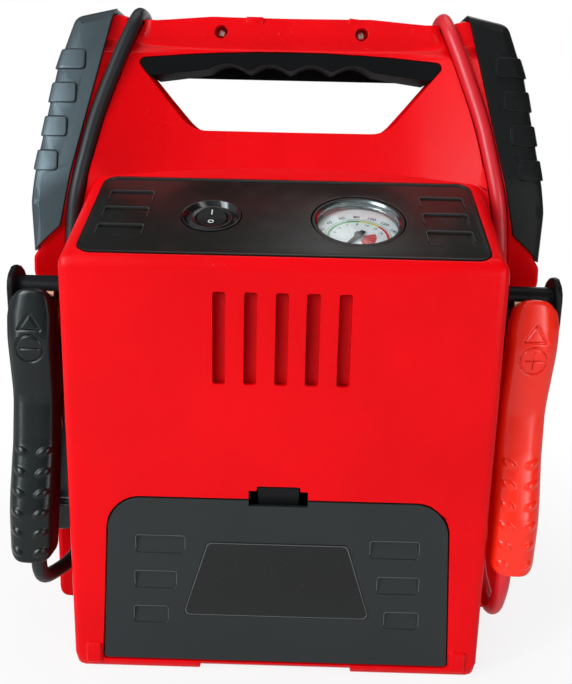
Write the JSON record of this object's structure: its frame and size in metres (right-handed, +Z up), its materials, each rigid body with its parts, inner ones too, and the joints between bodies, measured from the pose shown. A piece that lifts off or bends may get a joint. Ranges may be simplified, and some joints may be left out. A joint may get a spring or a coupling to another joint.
{
  "type": "jump starter pack",
  "caption": "Portable jump starter pack with sprung battery clamps parked on side posts, a carrying handle, a built-in air compressor with a gauge and a hose compartment behind a drop door.",
  "frame": {"origin": "on the ground under the middle of the pack, halfway between its outermost faces without the leads", "axes": "+Z up, -Y towards the compressor's cover with its door, vents and sloping panel, +X to the right seen from there"},
  "size_m": [0.2846, 0.2033, 0.3491],
  "materials": {
    "aluminium": "cast",
    "black_plastic": "fine texture",
    "black_rubber": "matt",
    "brass": "turned",
    "chrome": "mirror",
    "circuit_board": "lacquered",
    "clear": "clear plastic",
    "copper": "copper plated",
    "grey_plastic": "fine texture",
    "red_clamp": "gloss",
    "red_housing": "semi-gloss",
    "red_lead": "satin",
    "steel": "satin",
    "textured_black": "coarse texture",
    "white": "printed"
  },
  "bodies": {
    "pack": {"rear_housing": "red_housing", "front_housing": "red_housing", "handle_grip": "black_plastic", "handle_screw_left": "steel", "handle_screw_right": "steel", "armour_left": "textured_black", "armour_right": "textured_black", "side_pad_left": "textured_black", "side_pad_right": "textured_black", "compressor_cover": "red_housing", "control_panel": "black_plastic", "gauge_case": "black_plastic", "gauge_dial": "white", "gauge_lens": "clear", "switch_bezel": "black_plastic", "hose_tray": "black_plastic", "hose_outlet": "brass", "nozzle_cone": "grey_plastic", "nozzle_valve": "grey_plastic", "compressor_motor": "steel", "compressor_crankcase": "aluminium", "pump_cylinder": "aluminium", "battery": "grey_plastic", "circuit_board": "circuit_board", "clamp_post_left": "black_plastic", "clamp_post_right": "black_plastic", "black_lead": "black_rubber", "red_lead": "red_lead", "lead_gland_left": "black_rubber", "lead_gland_right": "black_rubber", "front_panel": "black_plastic", "power_socket": "black_plastic", "lamp_switch_bezel": "black_plastic", "level_window": "clear", "charge_jack": "black_plastic", "lamp_lens": "clear", "lamp_reflector": "chrome", "foot_left": "black_rubber", "foot_right": "black_rubber", "clamp_cover_left_near": "black_plastic", "clamp_jaw_left_near": "copper", "clamp_pin_left": "steel", "clamp_spring_left": "steel", "clamp_cover_right_near": "red_clamp", "clamp_jaw_right_near": "copper", "clamp_pin_right": "steel", "clamp_spring_right": "steel"},
    "door": {"hose_door": "grey_plastic"},
    "latch": {"door_latch": "black_plastic"},
    "compressor_key": {"compressor_rocker": "black_plastic"},
    "needle": {"gauge_needle": "black_plastic"},
    "cap": {"socket_cap": "black_rubber"},
    "lamp_key": {"lamp_rocker": "black_plastic"},
    "button": {"test_button": "red_clamp"},
    "left_lever": {"clamp_cover_left_far": "black_plastic", "clamp_jaw_left_far": "copper"},
    "right_lever": {"clamp_cover_right_far": "red_clamp", "clamp_jaw_right_far": "copper"}
  },
  "joints": [
    {"name": "door_hinge", "type": "hinge", "parent": "pack", "child": "door", "pos_m": [0, -0.0975, 0.0095], "axis": [1, 0, 0], "range_deg": [0, 90]},
    {"name": "latch_slide", "type": "slide", "parent": "door", "child": "latch", "axis": [0, 0, -1], "range_m": [0, 0.003], "stiffness_N_per_m": 250},
    {"name": "compressor_switch", "type": "hinge", "parent": "pack", "child": "compressor_key", "pos_m": [-0.0374, -0.06318, 0.23496], "axis": [-1, 0, 0], "range_deg": [0, 16]},
    {"name": "gauge_needle_turn", "type": "hinge", "parent": "pack", "child": "needle", "pos_m": [0.0368, -0.06941, 0.22956], "axis": [0, 0.4524, -0.8918], "range_deg": [0, 270], "stiffness_Nm_per_rad": 0.0005},
    {"name": "socket_cap_hinge", "type": "hinge", "parent": "pack", "child": "cap", "pos_m": [-0.045, 0.0992, 0.0818], "axis": [1, 0, 0], "range_deg": [0, 110]},
    {"name": "lamp_switch", "type": "hinge", "parent": "pack", "child": "lamp_key", "pos_m": [-0.045, 0.0933, 0.1243], "axis": [1, 0, 0], "range_deg": [0, 16]},
    {"name": "test_button_press", "type": "slide", "parent": "pack", "child": "button", "axis": [0, -1, 0], "range_m": [0, 0.0015], "stiffness_N_per_m": 300},
    {"name": "left_clamp_squeeze", "type": "hinge", "parent": "pack", "child": "left_lever", "pos_m": [-0.12624, -0.06588, 0.14437], "axis": [-0.9997, 0, 0.0227], "range_deg": [0, 9], "stiffness_Nm_per_rad": 2, "springref_deg": -11.46},
    {"name": "right_clamp_squeeze", "type": "hinge", "parent": "pack", "child": "right_lever", "pos_m": [0.12358, -0.06588, 0.14437], "axis": [-0.9997, 0, 0.0262], "range_deg": [0, 9], "stiffness_Nm_per_rad": 2, "springref_deg": -11.46}
  ]
}
